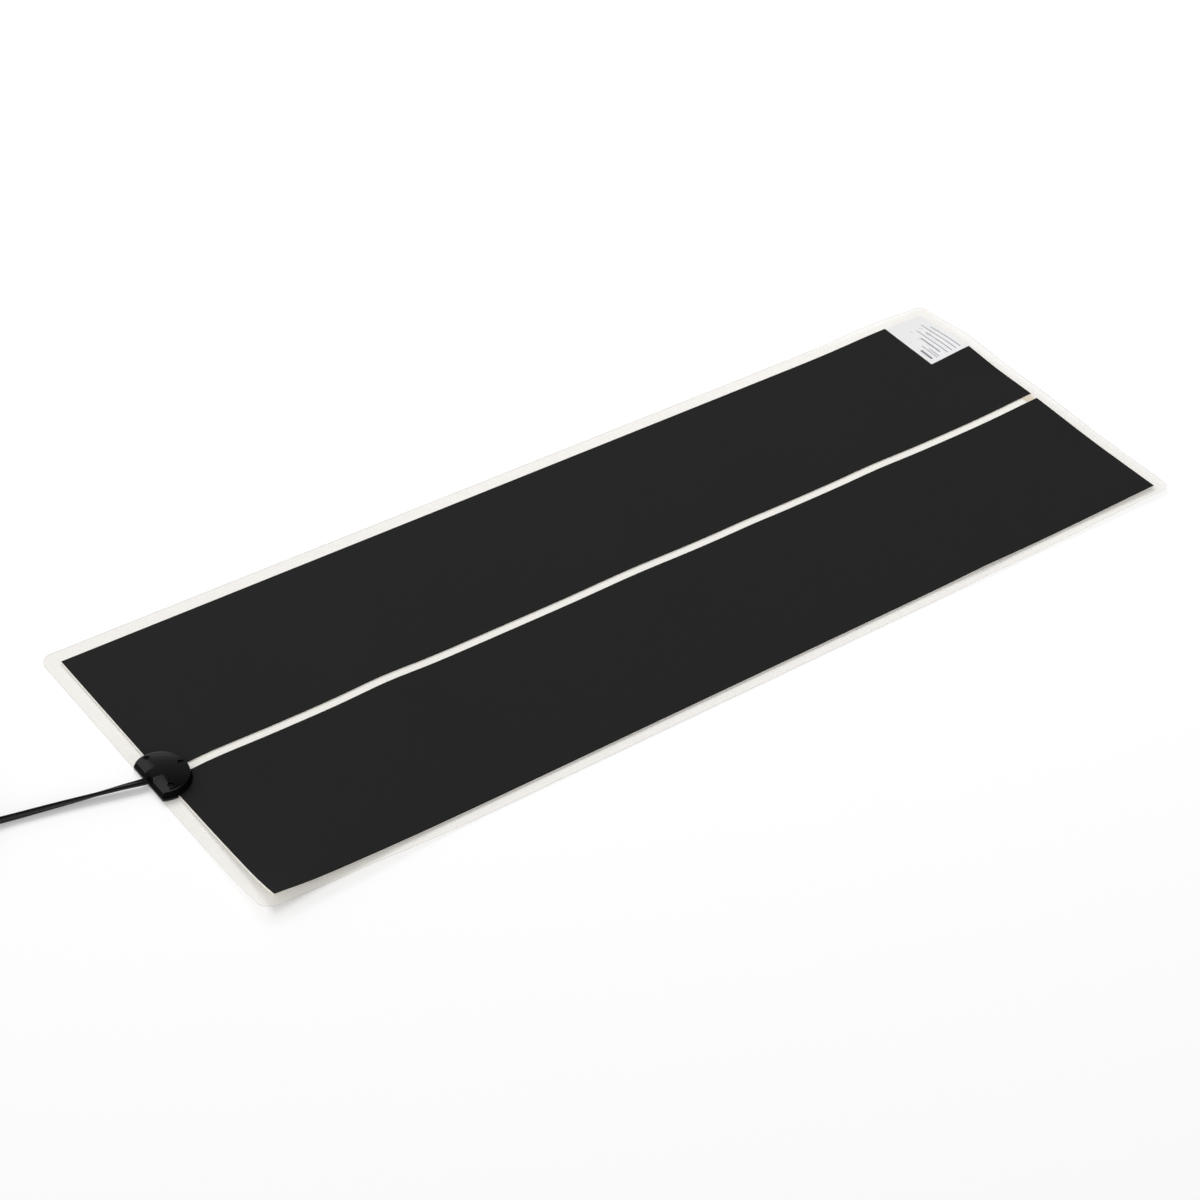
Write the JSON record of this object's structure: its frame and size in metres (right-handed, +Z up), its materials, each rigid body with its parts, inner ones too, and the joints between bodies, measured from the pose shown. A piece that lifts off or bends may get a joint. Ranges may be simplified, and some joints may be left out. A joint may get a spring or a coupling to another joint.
{
  "type": "seedling heat mat",
  "caption": "Thin flat heat mat for seed trays: black heating panels on a frosted film, a D-shaped terminal cap at one end and a flat twin cord with a moulded plug.",
  "frame": {"origin": "underside of the sheet, below the middle of the bare strip between the panels, on the surface that the mat lies on", "axes": "+X along the mat away from the terminal cap, +Y across it, +Z up"},
  "size_m": [0.9811, 0.3152, 0.0137],
  "materials": {
    "frosted_film": "satin",
    "cream_film": "matte",
    "carbon": "matte",
    "copper": "satin",
    "black_film": "matte",
    "label": "satin",
    "cap_plastic": "gloss",
    "seal_rubber": "matte",
    "screw_steel": "satin",
    "terminal_brass": "satin",
    "rivet_metal": "satin",
    "wire_copper": "satin",
    "grip_plastic": "matte",
    "cord_pvc": "satin",
    "tie_strap": "matte",
    "plug_pvc": "satin",
    "bridge_plastic": "matte",
    "pin_plating": "gloss",
    "sleeve_plastic": "satin"
  },
  "bodies": {
    "root": {"base_film": "frosted_film", "rear_carrier": "cream_film", "front_carrier": "cream_film", "rear_heating_layer": "carbon", "front_heating_layer": "carbon", "rear_bus_bar": "copper", "front_bus_bar": "copper", "link_bar": "copper", "rear_cover_film": "black_film", "front_cover_film": "black_film", "rating_label": "label", "cap_base": "cap_plastic", "cap_seal": "seal_rubber", "cap_cover": "cap_plastic", "cap_screws": "screw_steel", "live_terminal": "terminal_brass", "neutral_terminal": "terminal_brass", "terminal_rivets": "rivet_metal", "live_wire": "wire_copper", "neutral_wire": "wire_copper", "cord_grip": "grip_plastic", "cord_lead": "cord_pvc", "cord_coil": "cord_pvc", "cord_tail": "cord_pvc", "cord_tie": "tie_strap", "plug_relief": "plug_pvc", "plug_body": "plug_pvc", "plug_bridge": "bridge_plastic", "plug_pins": "pin_plating", "pin_sleeves": "sleeve_plastic", "plug_wires": "wire_copper"}
  },
  "joints": []
}
